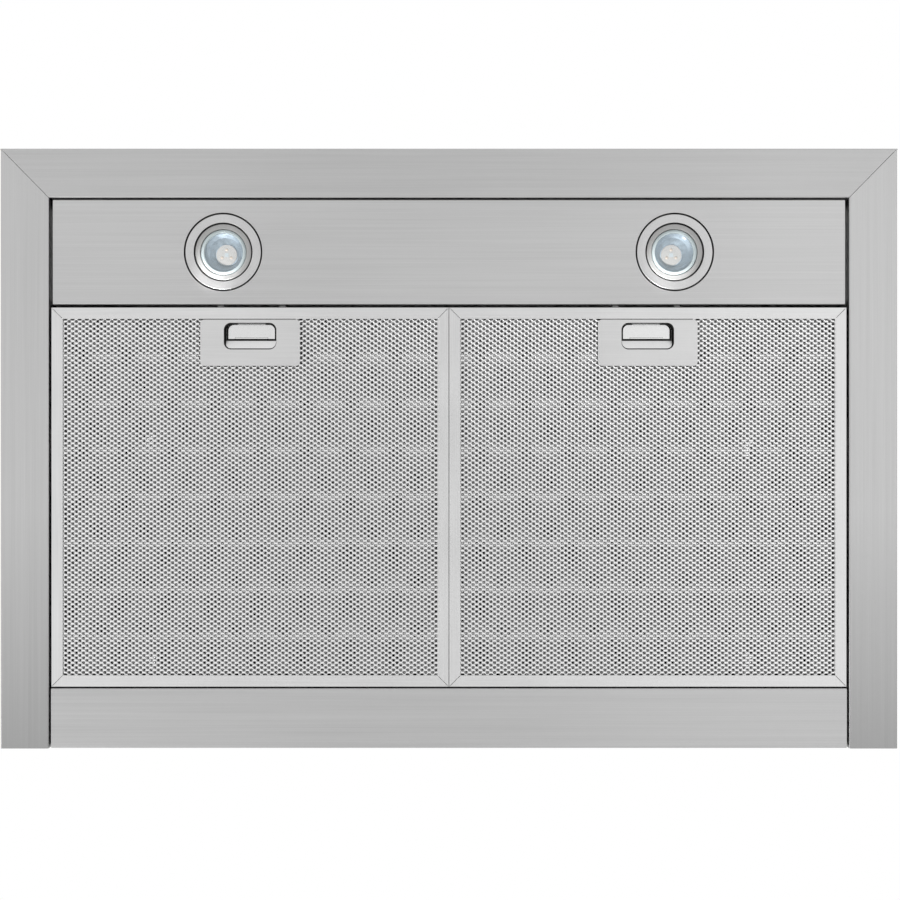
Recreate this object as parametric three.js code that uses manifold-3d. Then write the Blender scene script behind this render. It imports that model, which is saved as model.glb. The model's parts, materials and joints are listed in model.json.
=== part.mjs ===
// Under-cabinet range hood, nominal 30 in wide, as an assembly of separate pieces.
// Millimetres, +Z up, +X to the right and -Y to the front. The origin is the centre of the flat top.
import * as THREE from "three";
import { mergeVertices } from "three/addons/utils/BufferGeometryUtils.js";
import Module from "manifold-3d";

// ---- Driving dimensions ----

const WIDTH = 759.5; // a 30 in opening, less fitting clearance
const DEPTH = 508;
const HEIGHT = 150;
const TOP_DEPTH = 305; // the depth of a wall cabinet
const FASCIA = 60; // height of the upright front face
const RAIL = { side: 41, front: 41.8 }; // widths of the rim round the underside
const SHEET = 1.2;
const BEND = 1.5; // outside radius of a folded edge
const GAP = 0.3; // between pieces that touch
const LIP = 12; // turned-up inner edge of the rim
const TOP_FLANGE = 14; // turned-in edges below the top
const MITRE = 0.2; // half of the seam in the rim's front corners

const LIGHT_PANEL = { depth: 89.4, front_gap: 1, recess: 1.5, side_gap: 3, flange: 14 };
const REAR_TRIM = { front_gap: 1.3, recess: 0.3, side_gap: 2, flange: 15, lip: 10 };
const HOOK = 6; // overlap of a panel's side hook over the rim's lip

const FILTER = { depth: 321, gap: 2.6, centre_gap: 0.5, side_gap: 2.15, recess: 0.8 };
const FRAME = { strip: 9.5, height: 9, wall: 0.8, slit: 0.25 };
const CORE = { low: 2.2, high: 7.8, sheet: 0.5, folds: 8 };
const TAB = { offset: 110, width: 20, reach: 8, lift: 5, thick: 1.2 };
const HANDLE = { width: 84.5, front: 10.1, rear: 49.3, radius: 3.4 };
const POCKET = { width: 44.5, front: 12.8, rear: 35.4, radius: 6, depth: 9.5 };
const RAMP = { front: 27.7, low: 0.8, high: 4.4, thick: 0.8, inset: 0.9 };
const LATCH = { low: 6.3, high: 7.7, offset: 26.3, width: 5.5, reach: 5, yoke: [1.3, 4.8], arm: 12 };
const FINGER_TAB = { half: 20, front_gap: 0.8, rear: 25.9, radius: 5 };
const TAB_RIDGE = { half: 14, low: 5.6, length: 1.2 };
const SPRING = { x: 19, z: 5.2, radius: 2, wire: 0.25, turns: 4 };

const LAMP = { x: 191.5, hole: 33.3, trim: 32, opening: 24.9, body: 23.7, lens: 19.3 };
const REFLECTOR = { seat: 4.1, led: 8.9, led_depth: 12.5, led_thick: 1.3 };
const LAMP_NECK = { start: 34, radius: 15, end: 46 };
const LAMP_CLIP = { count: 3, reach: 38, width: 9, top: 12 };

const COLLAR = { width: 254, depth: 83, height: 50, y: 80, sheet: 1, flange: 12, ledge: 3, deck: 100 };
const DAMPER = { z: 9, rod: 2, knuckle: 3.3, thick: 1, knuckles: 6 };

const BLOWER = { y: 40, z: -62, inner_x: 40, outer_x: 125, eye: 38, hub_eye: 16 };
const SCROLL = { start: 54, end: 80, cut_off: 65, steps: 20 }; // radii, and the cut-off's angle in degrees
const IMPELLER = { radius: 47, inner_x: 46, outer_x: 119, blades: 18, blade: 7, disc: 1.2, bore: 4.3 };
const MOTOR = { radius: 36, half_length: 30, bell: 37, shaft: 4, shaft_end: 60 };

const SWITCH = { z: -120, pitch: 22, width: 116, height: 20, body_depth: 22 };
const BUTTON = { width: 15, height: 11, radius: 2, proud: 1.2 };
const BUTTONS = ["light_button", "off_button", "low_button", "medium_button", "high_button"];

const BOX = { x: 230, y: 123, width: 80, depth: 53, height: 50, ear: 10 };
const CONDUIT = { radius: 11, bore: 8, flange: 2, z: -32 };
const SCREW = { shank: 1.6, head: 3.4, head_height: 1.8 };

// ---- Places that follow from them ----

const REAR = TOP_DEPTH / 2;
const FRONT = REAR - DEPTH;
const SIDE = WIDTH / 2;
const BASE = -HEIGHT;
const INNER = SIDE - RAIL.side; // inner edges of the rim
const INNER_FRONT = FRONT + RAIL.front;
const UNDER_TOP = -SHEET - GAP;
const UNDER_DECK = UNDER_TOP - SHEET - GAP; // below the duct collar's base plate
const IN_FRONT_OF_BACK = REAR - SHEET - GAP;

const LIGHT = (() => {
  const front = INNER_FRONT + LIGHT_PANEL.front_gap;
  const rear = front + LIGHT_PANEL.depth;
  return { front, rear, z: BASE + LIGHT_PANEL.recess };
})();
const LAMP_Y = (LIGHT.front + LIGHT.rear) / 2;

const FILTER_FRONT = LIGHT.rear + FILTER.gap;
const HINGE = { y: FILTER_FRONT + FILTER.depth, z: BASE + FILTER.recess };
const FILTER_WIDTH = INNER - FILTER.side_gap - FILTER.centre_gap / 2;
const FILTER_X = (FILTER_WIDTH + FILTER.centre_gap) / 2;

// ---- Materials ----

function finish(color, roughness, metalness) {
  return new THREE.MeshStandardMaterial({ color, roughness, metalness });
}

const STEEL = finish(0xbcbcbb, 0.35, 1);
const GALVANISED = finish(0xa9adaf, 0.5, 1);
const ALUMINIUM = finish(0xd6d6d6, 0.3, 1);
const MESH = finish(0xb4b4b2, 0.35, 1);
const CHROME = finish(0xd9dadb, 0.15, 1);
const ZINC = finish(0xb9bcc0, 0.3, 1);
const DARK_PLASTIC = finish(0x26272a, 0.5, 0);
const LAMP_PLASTIC = finish(0xcfd4d6, 0.35, 0);
const CERAMIC = finish(0xe6e2d8, 0.5, 0);
const PHOSPHOR = finish(0xe9d9b4, 0.5, 0);
const GLASS = finish(0xe4f3f7, 0.08, 0);
GLASS.transparent = true;
GLASS.opacity = 0.4;
const MOTOR_PAINT = finish(0x3a3d40, 0.45, 0.3);

// ---- Solids ----

const wasm = await Module();
wasm.setup();

function solid(geometry) {
  geometry.deleteAttribute("normal");
  geometry.deleteAttribute("uv");
  const merged = mergeVertices(geometry, 1e-4);
  const vertProperties = merged.attributes.position.array;
  const triVerts = new Uint32Array(merged.index.array);
  return new wasm.Manifold(new wasm.Mesh({ numProp: 3, vertProperties, triVerts }));
}

function box(x0, x1, y0, y1, z0, z1) {
  const geometry = new THREE.BoxGeometry(x1 - x0, y1 - y0, z1 - z0);
  return solid(geometry.translate((x0 + x1) / 2, (y0 + y1) / 2, (z0 + z1) / 2));
}

// The outline's two coordinates are the two axes that follow the prism's own, in X, Y, Z order
// for "x" (Y, Z) and "z" (X, Y), and X, Z for "y".
const PRISM_AXES = {
  x: new THREE.Matrix4().set(0, 0, 1, 0, 1, 0, 0, 0, 0, 1, 0, 0, 0, 0, 0, 1),
  y: new THREE.Matrix4().set(1, 0, 0, 0, 0, 0, -1, 0, 0, 1, 0, 0, 0, 0, 0, 1),
  z: new THREE.Matrix4(),
};

function prism(axis, outline, from, to, curveSegments = 4) {
  const drawn = Array.isArray(outline);
  const shape = drawn ? new THREE.Shape(outline.map(([a, b]) => new THREE.Vector2(a, b))) : outline;
  const options = { depth: to - from, bevelEnabled: false, curveSegments };
  const geometry = new THREE.ExtrudeGeometry(shape, options);
  geometry.translate(0, 0, axis === "y" ? -to : from);
  return solid(geometry.applyMatrix4(PRISM_AXES[axis]));
}

function turned(axis, profile, segments = 24) {
  const geometry = new THREE.LatheGeometry(profile.map(([r, h]) => new THREE.Vector2(r, h)), segments);
  if (axis === "x") geometry.rotateZ(-Math.PI / 2);
  if (axis === "z") geometry.rotateX(Math.PI / 2);
  return solid(geometry);
}

function cylinder(axis, radius, from, to, segments = 16) {
  return turned(axis, [[0, from], [radius, from], [radius, to], [0, to]], segments);
}

function tube(axis, inner, outer, from, to, segments = 24) {
  return turned(axis, [[inner, from], [outer, from], [outer, to], [inner, to], [inner, from]], segments);
}

function union(...solids) {
  return solids.reduce((whole, next) => whole.add(next));
}

function minus(whole, ...cuts) {
  return cuts.reduce((left, cut) => left.subtract(cut), whole);
}

function roundedRectangle(x0, x1, y0, y1, radius) {
  const shape = new THREE.Shape();
  shape.absarc(x1 - radius, y0 + radius, radius, -Math.PI / 2, 0);
  shape.absarc(x1 - radius, y1 - radius, radius, 0, Math.PI / 2);
  shape.absarc(x0 + radius, y1 - radius, radius, Math.PI / 2, Math.PI);
  shape.absarc(x0 + radius, y0 + radius, radius, Math.PI, 1.5 * Math.PI);
  return shape;
}

// Each inner corner of a path becomes an arc.
function roundCorners(path, radius, steps = 3) {
  const points = path.map(([a, b]) => new THREE.Vector2(a, b));
  const round = [points[0]];
  for (let i = 1; i < points.length - 1; i++) {
    const back = points[i - 1].clone().sub(points[i]).normalize();
    const on = points[i + 1].clone().sub(points[i]).normalize();
    const half = back.angleTo(on) / 2;
    const centre = back.clone().add(on).normalize().multiplyScalar(radius / Math.sin(half)).add(points[i]);
    const start = back.multiplyScalar(radius / Math.tan(half)).add(points[i]).sub(centre);
    const end = on.multiplyScalar(radius / Math.tan(half)).add(points[i]).sub(centre);
    const sweep = Math.sign(start.cross(end)) * start.angleTo(end);
    for (let step = 0; step <= steps; step++) {
      round.push(start.clone().rotateAround(new THREE.Vector2(), (sweep * step) / steps).add(centre));
    }
  }
  round.push(points.at(-1));
  return round;
}

// The outline of a folded sheet: the path is its outer face, and the sheet lies to the right of it.
function foldedSheet(path, bend = BEND) {
  const outer = roundCorners(path, bend);
  const inner = outer.map((point, i) => {
    const before = i > 0 ? point.clone().sub(outer[i - 1]).normalize() : null;
    const after = i < outer.length - 1 ? outer[i + 1].clone().sub(point).normalize() : null;
    const normals = [before, after].filter(Boolean).map((way) => new THREE.Vector2(way.y, -way.x));
    const middle = normals.reduce((sum, normal) => sum.clone().add(normal)).normalize();
    return point.clone().addScaledVector(middle, SHEET / middle.dot(normals[0]));
  });
  return new THREE.Shape([...outer, ...inner.reverse()]);
}

function part(name, shape, material) {
  const { vertProperties, triVerts } = shape.getMesh();
  const geometry = new THREE.BufferGeometry();
  geometry.setAttribute("position", new THREE.BufferAttribute(vertProperties, 3));
  geometry.setIndex(new THREE.BufferAttribute(triVerts, 1));
  geometry.computeVertexNormals();
  const mesh = new THREE.Mesh(geometry, material.clone());
  mesh.name = name;
  return mesh;
}

function mirrored(name, shape, material) {
  const mesh = part(name, shape, material);
  mesh.scale.x = -1;
  return mesh;
}

function group(x, y, z, ...children) {
  const made = new THREE.Group();
  made.position.set(x, y, z);
  return made.add(...children);
}

// ---- Housing ----

const SLOPE = (UNDER_TOP - BASE - FASCIA) / (-REAR - FRONT);

// The mitre's X at a given Y, on the right.
function seam(y) {
  return SIDE - ((y - FRONT) * RAIL.side) / RAIL.front;
}

function frontPanel() {
  const profile = foldedSheet([
    [INNER_FRONT, BASE + LIP],
    [INNER_FRONT, BASE],
    [FRONT, BASE],
    [FRONT, BASE + FASCIA],
    [-REAR, UNDER_TOP],
    [-REAR + TOP_FLANGE, UNDER_TOP],
  ]);
  const corner = [
    [SIDE + 1, FRONT + BEND],
    [SIDE + 1, INNER_FRONT + 1],
    [seam(INNER_FRONT + 1) - MITRE, INNER_FRONT + 1],
    [seam(FRONT + BEND) - MITRE, FRONT + BEND],
  ];
  const left = corner.map(([x, y]) => [-x, y]);
  const opening = [SWITCH.width / 2 - 3, SWITCH.height / 2 - 3];
  return minus(
    prism("x", profile, -SIDE, SIDE),
    prism("z", corner, BASE - 1, BASE + LIP + 1),
    prism("z", left.reverse(), BASE - 1, BASE + LIP + 1),
    box(-opening[0], opening[0], FRONT - 1, FRONT + 5, SWITCH.z - opening[1], SWITCH.z + opening[1]),
  );
}

function sidePanel() {
  const top = UNDER_TOP - SHEET - GAP;
  const inset = (SHEET + GAP) * Math.hypot(1, SLOPE);
  const slopeHeight = (y) => BASE + FASCIA + (y - FRONT) * SLOPE - inset;
  const plate = [
    [FRONT + BEND + GAP, BASE + 2 * BEND],
    [IN_FRONT_OF_BACK, BASE + 2 * BEND],
    [IN_FRONT_OF_BACK, top],
    [FRONT + (top - slopeHeight(FRONT)) / SLOPE, top],
    [FRONT + BEND + GAP, slopeHeight(FRONT + BEND + GAP)],
  ];
  const rim = foldedSheet([
    [SIDE, BASE + REAR_TRIM.flange],
    [SIDE, BASE],
    [INNER, BASE],
    [INNER, BASE + LIP],
  ]);
  const corner = [
    [seam(INNER_FRONT + 1) + MITRE, FRONT - 1],
    [seam(FRONT - 1) + MITRE, FRONT - 1],
    [seam(INNER_FRONT + 1) + MITRE, INNER_FRONT + 1],
  ];
  const rail = prism("y", rim, FRONT + BEND + GAP, REAR);
  return union(
    minus(rail, prism("z", corner, BASE - 1, BASE + LIP + 1)),
    prism("x", plate, SIDE - SHEET, SIDE),
    box(SIDE - TOP_FLANGE, SIDE, -REAR + TOP_FLANGE + 1, IN_FRONT_OF_BACK, top - SHEET, top),
  );
}

const OUTLET = (() => {
  const angle = THREE.MathUtils.degToRad(SCROLL.cut_off);
  return { front: BLOWER.y + SCROLL.start * Math.cos(angle) + SHEET, rear: BLOWER.y + SCROLL.end - SHEET };
})();

const KEYHOLE = { x: 300, y: 110, radius: 6, slot: 3, length: 16 };
const COLLAR_SCREW = { x: COLLAR.width / 2 + COLLAR.flange / 2, y: COLLAR.depth / 2 + COLLAR.flange / 2 };
const BRACKET = { half_width: 15, reach: 55, leg: 39, band: 12 };
const BRACKET_SCREW_Y = BRACKET.reach - 5;

function screwHole(x, y) {
  return cylinder("z", SCREW.shank + GAP, -5, 5, 12).translate([x, y, 0]);
}

function topPanel() {
  const [half_x, half_y] = [COLLAR.width / 2 + GAP, COLLAR.depth / 2 + GAP];
  const cuts = [box(-half_x, half_x, COLLAR.y - half_y, COLLAR.y + half_y, -5, 5)];
  for (const side of [-1, 1]) {
    for (const end of [-1, 1]) {
      const [x, y] = [side * KEYHOLE.x, end * KEYHOLE.y];
      cuts.push(cylinder("z", KEYHOLE.radius, -5, 5, 16).translate([x, y, 0]));
      cuts.push(box(x - KEYHOLE.slot, x + KEYHOLE.slot, y, y + KEYHOLE.length, -5, 5));
      cuts.push(screwHole(side * COLLAR_SCREW.x, COLLAR.y + end * COLLAR_SCREW.y));
    }
  }
  return minus(box(-SIDE, SIDE, -REAR, REAR, -SHEET, 0), ...cuts);
}

// Stands above the rear trim panel's flange and the ends of the rim.
function backPanel() {
  const plate = box(-SIDE, SIDE, REAR - SHEET, REAR, BASE + REAR_TRIM.flange + 1, UNDER_TOP);
  const hole = cylinder("y", CONDUIT.radius, REAR - 5, REAR + 5).translate([BOX.x, 0, CONDUIT.z]);
  return minus(plate, hole);
}

// A tray that hangs on the rim by a hook along each side.
function hangingPanel(path, half, front, rear) {
  const z = Math.min(...path.map(([, height]) => height));
  const hook = BASE + LIP + GAP;
  const sides = [-1, 1].flatMap((side) => {
    const [x0, x1, x2] = [half - SHEET, half, INNER + HOOK].map((x) => x * side);
    return [
      box(Math.min(x0, x1), Math.max(x0, x1), front, rear, z + SHEET / 2, hook + SHEET),
      box(Math.min(x0, x2), Math.max(x0, x2), front, rear, hook, hook + SHEET),
    ];
  });
  return union(prism("x", foldedSheet(path), -half, half), ...sides);
}

const TONGUE = { low: HINGE.z + LATCH.low, high: HINGE.z + LATCH.high };

function lightPanel() {
  const { front, rear, z } = LIGHT;
  const tray = hangingPanel(
    [[rear, z + LIGHT_PANEL.flange], [rear, z], [front, z], [front, z + LIGHT_PANEL.flange]],
    INNER - LIGHT_PANEL.side_gap,
    front + 5,
    rear - 5,
  );
  const cuts = [];
  for (const side of [-1, 1]) {
    cuts.push(cylinder("z", LAMP.hole, BASE, BASE + 5, 64).translate([side * LAMP.x, LAMP_Y, 0]));
    for (const end of [-1, 1]) {
      const x = side * FILTER_X + end * LATCH.offset;
      const half = LATCH.width / 2 + 0.8;
      cuts.push(box(x - half, x + half, rear - 5, rear + 5, TONGUE.low - GAP, TONGUE.high + 1));
    }
  }
  return minus(tray, ...cuts);
}

function rearTrimPanel() {
  const front = HINGE.y + REAR_TRIM.front_gap;
  const z = BASE + REAR_TRIM.recess;
  const tray = hangingPanel(
    [[REAR, z + REAR_TRIM.flange], [REAR, z], [front, z], [front, z + REAR_TRIM.lip]],
    INNER - REAR_TRIM.side_gap,
    front + 5,
    REAR - 5,
  );
  const notches = [-1, 1].flatMap((side) =>
    [-1, 1].map((end) => {
      const x = side * FILTER_X + end * TAB.offset;
      return box(x - TAB.width / 2 - 1, x + TAB.width / 2 + 1, front - 1, front + 5, z + SHEET, BASE + 20);
    }),
  );
  return minus(tray, ...notches);
}

// ---- Duct collar and damper ----

// The tube stands on a base plate that lies against the underside of the top panel, with the blower's
// outlets in it.
function ductCollar() {
  const [x, y] = [COLLAR.width / 2, COLLAR.depth / 2];
  const [inner_x, inner_y] = [x - COLLAR.sheet, y - COLLAR.sheet];
  const [deck_x, deck_rear] = [x + COLLAR.flange, y + COLLAR.flange];
  const stop = DAMPER.z - DAMPER.thick / 2 - GAP;
  const tubeWalls = minus(
    box(-x, x, -y, y, UNDER_TOP - SHEET / 2, COLLAR.height),
    box(-inner_x, inner_x, -inner_y, inner_y, -5, COLLAR.height + 1),
  );
  const deck = box(-deck_x, deck_x, -COLLAR.deck, deck_rear, UNDER_TOP - SHEET, UNDER_TOP);
  const ledges = [-1, 1].map((side) => {
    const across = [side * (inner_y - COLLAR.ledge), side * (inner_y + COLLAR.sheet / 2)];
    return box(-inner_x, inner_x, Math.min(...across), Math.max(...across), stop - SHEET, stop);
  });
  const cuts = [cylinder("x", DAMPER.rod + GAP, -x - 1, x + 1, 16).translate([0, 0, DAMPER.z])];
  for (const side of [-1, 1]) {
    const outlet = [side * (BLOWER.inner_x + SHEET), side * (BLOWER.outer_x - SHEET)];
    const [front, rear] = [OUTLET.front - COLLAR.y, OUTLET.rear - COLLAR.y];
    cuts.push(
      box(Math.min(...outlet), Math.max(...outlet), front, rear, -5, 0),
      screwHole(side * COLLAR_SCREW.x, -COLLAR_SCREW.y),
      screwHole(side * COLLAR_SCREW.x, COLLAR_SCREW.y),
      screwHole(0, BLOWER.y + side * BRACKET_SCREW_Y - COLLAR.y),
    );
  }
  return minus(union(deck, tubeWalls, ...ledges), ...cuts);
}

function damperRod() {
  const end = COLLAR.width / 2 + 2;
  return cylinder("x", DAMPER.rod, -end, end, 16);
}

// One wing of the damper, towards +Y, with every second knuckle on the rod. Turned half round
// for the other side, its knuckles fall between the first wing's.
function damperWing() {
  const half = COLLAR.width / 2 - COLLAR.sheet - 0.8;
  const near = DAMPER.knuckle + GAP;
  const far = COLLAR.depth / 2 - COLLAR.sheet - 0.4;
  const pitch = (2 * half) / DAMPER.knuckles;
  const pieces = [box(-half, half, near, far, -DAMPER.thick / 2, DAMPER.thick / 2)];
  for (let i = 0; i < DAMPER.knuckles; i += 2) {
    const [x0, x1] = [-half + i * pitch + GAP, -half + (i + 1) * pitch - GAP];
    const inner = DAMPER.rod + GAP;
    pieces.push(
      tube("x", inner, DAMPER.knuckle, x0, x1, 16),
      box(x0 + 1, x1 - 1, DAMPER.rod + 2 * GAP, near + 0.5, -DAMPER.thick / 2, DAMPER.thick / 2),
    );
  }
  return union(...pieces);
}

// ---- Blower ----

function scrollOutline(inset) {
  const start = (SCROLL.start - inset) * Math.cos(THREE.MathUtils.degToRad(SCROLL.cut_off)) + inset;
  const top = UNDER_DECK - BLOWER.z + (inset > 0 ? 1 : 0);
  const from = Math.acos(start / (SCROLL.start - inset));
  const points = [[start, top]];
  for (let step = 0; step <= SCROLL.steps; step++) {
    const turn = step / SCROLL.steps;
    const angle = from + turn * (2 * Math.PI - from);
    const radius = THREE.MathUtils.lerp(SCROLL.start, SCROLL.end, turn) - inset;
    points.push([radius * Math.cos(angle), radius * Math.sin(angle)]);
  }
  points.push([SCROLL.end - inset, top]);
  return points;
}

function blowerHousing() {
  return minus(
    prism("x", scrollOutline(0), BLOWER.inner_x, BLOWER.outer_x),
    prism("x", scrollOutline(SHEET), BLOWER.inner_x + SHEET, BLOWER.outer_x - SHEET),
    cylinder("x", BLOWER.eye, BLOWER.outer_x - 5, BLOWER.outer_x + 5, 24),
    cylinder("x", BLOWER.hub_eye, BLOWER.inner_x - 5, BLOWER.inner_x + 5),
  );
}

// A squirrel cage: forward-curved blades between the hub disc and the inlet ring.
function impeller() {
  const { radius, inner_x, outer_x, blades, blade, disc, bore } = IMPELLER;
  const curve = new THREE.Shape();
  const middle = radius - 1 - blade / 2;
  curve.absarc(middle, 0, blade / 2, 0, Math.PI, false);
  curve.absarc(middle, 0, blade / 2 - 1, Math.PI, 0, true);
  const vane = prism("x", curve, inner_x + disc / 2, outer_x - disc / 2, 2);
  const vanes = Array.from({ length: blades }, (_, i) => vane.rotate([(360 * i) / blades, 0, 0]));
  const hub = turned("x", [
    [bore, inner_x], [radius, inner_x], [radius, inner_x + disc],
    [10, inner_x + disc], [10, inner_x + 14], [bore, inner_x + 14], [bore, inner_x],
  ]);
  const inside = radius - blade - 2;
  return union(hub, tube("x", inside, radius, outer_x - 2, outer_x), ...vanes);
}

function motorBody() {
  const { radius, half_length, bell } = MOTOR;
  const bore = MOTOR.shaft + GAP;
  return turned("x", [
    [bore, -bell], [14, -bell], [16, -bell + 3], [radius - 5, -half_length],
    [radius, -half_length + 3], [radius, half_length - 3],
    [radius - 5, half_length], [16, bell - 3], [14, bell], [bore, bell], [bore, -bell],
  ]);
}

function motorShaft() {
  return cylinder("x", MOTOR.shaft, -MOTOR.shaft_end, MOTOR.shaft_end, 16);
}

function motorBracket() {
  const top = UNDER_DECK - BLOWER.z;
  const { half_width, reach, leg, band } = BRACKET;
  const [inner, outer] = [MOTOR.radius + 0.4, MOTOR.radius + 1.8];
  const ring = tube("x", inner, outer, -band, band);
  const legs = [-1, 1].map((side) => {
    const across = [side * (outer - 0.4), side * leg];
    return box(-band, band, Math.min(...across), Math.max(...across), 0, top);
  });
  const plate = box(-half_width, half_width, -reach, reach, top - SHEET, top);
  const holes = [-1, 1].map((side) => screwHole(0, side * BRACKET_SCREW_Y).translate([0, 0, top]));
  return minus(union(ring, plate, ...legs), ...holes);
}

// ---- Wiring compartment and controls ----

function capacitor() {
  const [radius, length, crimp] = [17, 55, 2];
  const top = UNDER_TOP - 1;
  return turned("z", [
    [0, top - length], [radius - 3, top - length], [radius, top - length + 3], [radius, top - crimp],
    [radius - 1, top], [0, top],
  ]);
}

const BOX_BOTTOM = UNDER_TOP - GAP - BOX.height;
const BOX_SCREW_X = BOX.width / 2 + BOX.ear / 2;

function boxScrewHoles() {
  return [-1, 1].map((side) => screwHole(side * BOX_SCREW_X, 0).translate([0, 0, BOX_BOTTOM]));
}

function junctionBox() {
  const [x, y] = [BOX.width / 2, BOX.depth / 2];
  const top = BOX_BOTTOM + BOX.height;
  const ears = box(-x - BOX.ear, x + BOX.ear, -12, 12, BOX_BOTTOM, BOX_BOTTOM + SHEET);
  const shell = union(box(-x, x, -y, y, BOX_BOTTOM, top), ears);
  const inside = box(-x + SHEET, x - SHEET, -y + SHEET, y - SHEET, BOX_BOTTOM - 1, top - SHEET);
  const conduit = cylinder("y", CONDUIT.radius, y - 5, y + 5).translate([0, 0, CONDUIT.z]);
  return minus(shell, inside, conduit, ...boxScrewHoles());
}

function junctionBoxCover() {
  const [x, y] = [BOX.width / 2 + BOX.ear, BOX.depth / 2];
  const top = BOX_BOTTOM - GAP;
  return minus(box(-x, x, -y, y, top - SHEET, top), ...boxScrewHoles());
}

function conduitBushing() {
  const { bore, radius, flange } = CONDUIT;
  const sleeve = radius - 0.4;
  const wall = BOX.y + BOX.depth / 2 - SHEET - GAP;
  return turned("y", [
    [bore, wall - flange], [radius + flange, wall - flange], [radius + flange, wall], [sleeve, wall],
    [sleeve, REAR - 1], [sleeve - 1, REAR - GAP], [bore, REAR - GAP], [bore, wall - flange],
  ], 16);
}

function buttonOutline(margin) {
  const [x, z] = [BUTTON.width / 2 + margin, BUTTON.height / 2 + margin];
  return roundedRectangle(-x, x, -z, z, BUTTON.radius + margin);
}

const BUTTON_X = BUTTONS.map((_, i) => (i - (BUTTONS.length - 1) / 2) * SWITCH.pitch);
const BEZEL = { face: -1.1, back: 3 };

// The switch pieces are drawn about the switch's centre on the fascia's outer face, with +Y inwards.
function switchBezel() {
  const [x, z] = [SWITCH.width / 2, SWITCH.height / 2];
  const plate = union(
    prism("y", roundedRectangle(-x, x, -z, z, 3), BEZEL.face, -GAP),
    box(-x + 3.3, x - 3.3, BEZEL.face / 2, BEZEL.back, -z + 3.3, z - 3.3),
  );
  const hole = prism("y", buttonOutline(GAP), -5, 10, 2);
  return minus(plate, ...BUTTON_X.map((at) => hole.translate([at, 0, 0])));
}

function switchBody() {
  const [x, z] = [SWITCH.width / 2 - 2, SWITCH.height / 2];
  const back = BEZEL.back + GAP;
  const block = box(-x, x, back, back + SWITCH.body_depth, -z, z);
  const well = prism("y", buttonOutline(1.4), back - 1, back + 8, 2);
  return minus(block, ...BUTTON_X.map((at) => well.translate([at, 0, 0])));
}

function button() {
  const back = BEZEL.back + 2 * GAP;
  return union(
    prism("y", buttonOutline(0), BEZEL.face - BUTTON.proud, back + 3, 2),
    prism("y", buttonOutline(1), back, back + 1.5, 2),
  );
}

// ---- Lamps, drawn about the lamp's axis with z = 0 on the light panel's lower face ----

// A flush cup with a wide rim, held by clips that come down on the panel's upper face.
function trimRing() {
  const { trim, opening } = LAMP;
  const { count, reach, width, top } = LAMP_CLIP;
  const ring = turned("z", [
    [opening, 0.5], [opening + 0.5, 0], [trim - 0.6, 0], [trim, 0.6], [trim, top],
    [trim - SHEET, top], [trim - SHEET, SHEET], [opening, SHEET], [opening, 0.5],
  ], 64);
  const clip = union(
    box(trim - SHEET / 2, reach, -width / 2, width / 2, top - SHEET, top),
    box(reach - SHEET, reach, -width / 2, width / 2, SHEET + GAP, top),
  );
  const clips = Array.from({ length: count }, (_, i) => clip.rotate([0, 0, 90 + (360 * i) / count]));
  return union(ring, ...clips);
}

// A reflector lamp: bezel, bowl and heat sink, tapering to its neck.
function lampBody() {
  const { body, lens } = LAMP;
  const { seat, led, led_depth, led_thick } = REFLECTOR;
  const { start, radius, end } = LAMP_NECK;
  const floor = led_depth + led_thick + GAP;
  const bore = lens + GAP;
  return turned("z", [
    [0, floor], [led + 0.6, floor], [lens - 1.4, seat], [bore, seat], [bore, 1.2], [body - 1, 0.5],
    [body, 1.2], [body, 7], [radius + 2, start], [radius, start + 2], [radius, end], [0, end],
  ]);
}

function lampLens() {
  const top = REFLECTOR.seat - 0.4;
  return turned("z", [[0, 1], [12, 1.2], [LAMP.lens, 1.7], [LAMP.lens, top], [0, top]]);
}

function ledModule() {
  return cylinder("z", REFLECTOR.led, REFLECTOR.led_depth, REFLECTOR.led_depth + REFLECTOR.led_thick);
}

function lampSocket() {
  const [low, radius, height] = [LAMP_NECK.end + GAP, LAMP_NECK.radius - 1, 15];
  return turned("z", [
    [0, low], [radius, low], [radius, low + height - 3], [radius - 2, low + height], [0, low + height],
  ], 16);
}

function lamp(side, x) {
  return group(x, LAMP_Y, LIGHT.z,
    part(`${side}_lamp_trim_ring`, trimRing(), CHROME),
    part(`${side}_lamp_body`, lampBody(), LAMP_PLASTIC),
    part(`${side}_lamp_lens`, lampLens(), GLASS),
    part(`${side}_led_module`, ledModule(), PHOSPHOR),
    part(`${side}_lamp_socket`, lampSocket(), CERAMIC),
  );
}

// ---- Grease filters, drawn about the middle of their lower rear edge ----

const FILTER_HALF = FILTER_WIDTH / 2;
const NEAR = -FILTER.depth; // the filter's front face

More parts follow.
